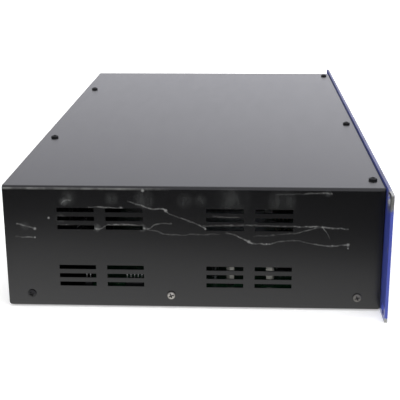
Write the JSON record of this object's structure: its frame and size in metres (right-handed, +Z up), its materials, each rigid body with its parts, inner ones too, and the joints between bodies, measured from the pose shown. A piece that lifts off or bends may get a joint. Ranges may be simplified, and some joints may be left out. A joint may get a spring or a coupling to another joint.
{
  "type": "rackmount network switch",
  "caption": "Shallow steel-cased rackmount network switch with slotted sides, a coloured front panel with rack ears, plug sockets, rear fans, mains inlet and rocker.",
  "frame": {"origin": "centre of the four rack slots, on the rear plane of the ears, which meets the rack posts", "axes": "+Z up, the front faces -Y, +X runs to the right seen from the front"},
  "size_m": [0.4826, 0.2681, 0.0886],
  "materials": {
    "black_paint": "satin powder coat",
    "blue_paint": "satin paint",
    "zinc_steel": "zinc-plated, passivated",
    "blackened_steel": "black oxide",
    "tinned_steel": "tin-plated sheet",
    "gold_plate": "gold-plated phosphor bronze",
    "brass_post": "turned brass",
    "aluminium": "extruded, anodised",
    "copper_wire": "enamelled copper",
    "board_green": "solder mask on glass-fibre laminate",
    "board_tan": "paper-phenolic laminate",
    "chip_black": "moulded epoxy",
    "black_plastic": "moulded, fine grain",
    "white_nylon": "moulded",
    "grey_plastic": "moulded",
    "red_plastic": "moulded",
    "smoked_window": "smoked acrylic",
    "green_lamp": "diffused epoxy",
    "capacitor_sleeve": "shrink sleeve",
    "yellow_tape": "polyester tape",
    "yellow_case": "moulded case",
    "ferrite": "sintered ferrite",
    "clear_film": "polyester film",
    "black_wire": "PVC insulation",
    "red_wire": "PVC insulation",
    "brown_wire": "PVC insulation",
    "ribbon_grey": "flat ribbon cable",
    "fuse_glass": "glass tube with plated caps"
  },
  "bodies": {
    "case": {"base_tray": "black_paint", "front_subpanel": "black_paint", "rear_panel": "black_paint", "top_cover": "black_paint", "front_panel": "blue_paint", "panel_nuts": "zinc_steel", "black_cover_screws": "blackened_steel", "plated_cover_screws": "zinc_steel", "main_board": "board_green", "board_standoffs": "brass_post", "board_screws": "zinc_steel", "port_block_1": "black_plastic", "port_block_2": "black_plastic", "port_block_3": "black_plastic", "port_contacts": "gold_plate", "port_shields": "tinned_steel", "uplink_cages": "tinned_steel", "uplink_sockets": "black_plastic", "console_port": "black_plastic", "lamp_board": "board_green", "lamps": "green_lamp", "lamp_lens": "smoked_window", "button_switches": "black_plastic", "ribbon_lead": "ribbon_grey", "switch_chip": "chip_black", "switch_heat_sink": "aluminium", "line_chips": "chip_black", "memory_chips": "chip_black", "small_capacitors": "capacitor_sleeve", "board_coils": "copper_wire", "coin_cell": "tinned_steel", "coin_cell_holder": "black_plastic", "fan_plugs": "white_nylon", "fan_leads": "black_wire", "power_plugs": "white_nylon", "dc_lead": "red_wire", "supply_board": "board_tan", "supply_insulator": "clear_film", "transformer_core": "ferrite", "transformer_winding": "yellow_tape", "bulk_capacitor": "capacitor_sleeve", "filter_choke": "copper_wire", "filter_capacitor": "yellow_case", "supply_heat_sinks": "aluminium", "power_transistors": "chip_black", "mains_fuse": "fuse_glass", "mains_lead": "brown_wire", "power_inlet": "black_plastic", "inlet_pins": "zinc_steel", "rocker_housing": "black_plastic", "fan_frame_1": "black_plastic", "fan_frame_2": "black_plastic", "fan_guards": "zinc_steel", "rear_screws": "zinc_steel", "ground_stud": "zinc_steel"},
    "fan_1": {"fan_impeller_1": "black_plastic"},
    "fan_2": {"fan_impeller_2": "black_plastic"},
    "rocker": {"power_rocker": "black_plastic"},
    "mode_key": {"mode_button": "grey_plastic"},
    "reset_key": {"reset_button": "red_plastic"}
  },
  "joints": [
    {"name": "fan_1_spin", "type": "hinge", "parent": "case", "child": "fan_1", "pos_m": [-0.15, 0.2387, 0], "axis": [0, 1, 0], "continuous": true},
    {"name": "fan_2_spin", "type": "hinge", "parent": "case", "child": "fan_2", "pos_m": [-0.076, 0.2387, 0], "axis": [0, 1, 0], "continuous": true},
    {"name": "rocker_tilt", "type": "hinge", "parent": "case", "child": "rocker", "pos_m": [0.132, 0.2497, -0.012], "axis": [1, 0, 0], "range_deg": [0, 22]},
    {"name": "mode_press", "type": "slide", "parent": "case", "child": "mode_key", "axis": [0, 1, 0], "range_m": [0, 0.001], "stiffness_N_per_m": 400, "springref_m": -0.0005},
    {"name": "reset_press", "type": "slide", "parent": "case", "child": "reset_key", "axis": [0, 1, 0], "range_m": [0, 0.001], "stiffness_N_per_m": 300, "springref_m": -0.0005}
  ]
}
